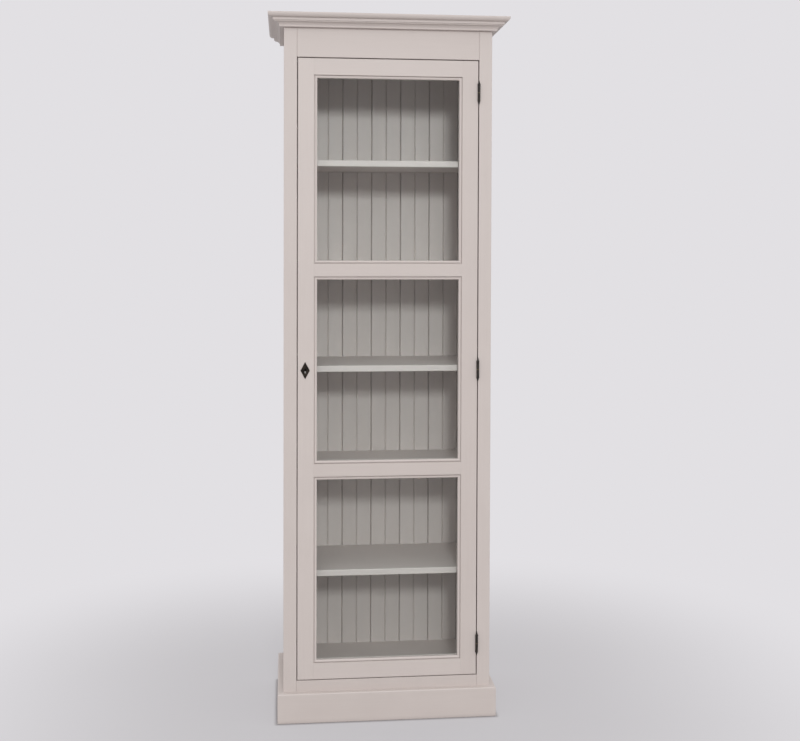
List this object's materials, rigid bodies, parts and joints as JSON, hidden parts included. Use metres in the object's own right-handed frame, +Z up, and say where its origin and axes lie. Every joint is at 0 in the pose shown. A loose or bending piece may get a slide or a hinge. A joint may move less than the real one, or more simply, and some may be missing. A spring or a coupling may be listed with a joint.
{
  "type": "display cabinet",
  "caption": "Tall narrow free-standing display cabinet with a glazed swinging door, moulded cornice, plain plinth, loose shelves, finial hinges and a cupboard lock.",
  "frame": {"origin": "on the floor, under the middle of the whole bounding box", "axes": "+X to the cabinet's right as seen from the front, +Y to its back, +Z up; the door faces -Y"},
  "size_m": [0.647, 0.3426, 1.9],
  "materials": {
    "paint": "warm grey satin paint on timber",
    "glass": "clear float glass",
    "dark_metal": "dark bronzed iron, satin",
    "steel": "plain drawn steel",
    "brass": "dull brass"
  },
  "bodies": {
    "carcass": {"left_side_panel": "paint", "right_side_panel": "paint", "top_board": "paint", "bottom_board": "paint", "left_post": "paint", "right_post": "paint", "frieze_rail": "paint", "lower_rail": "paint", "door_stop": "paint", "back_board_1": "paint", "back_board_2": "paint", "back_board_3": "paint", "back_board_4": "paint", "back_board_5": "paint", "back_board_6": "paint", "back_board_7": "paint", "plinth_front": "paint", "plinth_left": "paint", "plinth_right": "paint", "cornice_front": "paint", "cornice_left": "paint", "cornice_right": "paint", "shelf_1": "paint", "shelf_2": "paint", "shelf_3": "paint", "shelf_4": "paint", "shelf_5": "paint", "shelf_cleats": "paint", "hinge_top_frame_leaf": "dark_metal", "hinge_middle_frame_leaf": "dark_metal", "hinge_bottom_frame_leaf": "dark_metal", "hinge_washers": "brass", "strike_plate": "steel"},
    "door": {"door_lock_stile": "paint", "door_hinge_stile": "paint", "door_top_rail": "paint", "door_upper_mid_rail": "paint", "door_lower_mid_rail": "paint", "door_bottom_rail": "paint", "glass_pane_top": "glass", "glass_pane_middle": "glass", "glass_pane_bottom": "glass", "glazing_beads_top": "paint", "glazing_beads_middle": "paint", "glazing_beads_bottom": "paint", "hinge_top_door_leaf": "dark_metal", "hinge_middle_door_leaf": "dark_metal", "hinge_bottom_door_leaf": "dark_metal", "escutcheon": "dark_metal", "lock_case": "steel"},
    "bolt": {"lock_bolt": "steel"}
  },
  "joints": [
    {"name": "door_swing", "type": "hinge", "parent": "carcass", "child": "door", "pos_m": [0.24475, -0.13315, 0.949], "axis": [0, 0, 1], "range_deg": [0, 170]},
    {"name": "bolt_throw", "type": "slide", "parent": "door", "child": "bolt", "axis": [-1, 0, 0], "range_m": [0, 0.009]}
  ]
}
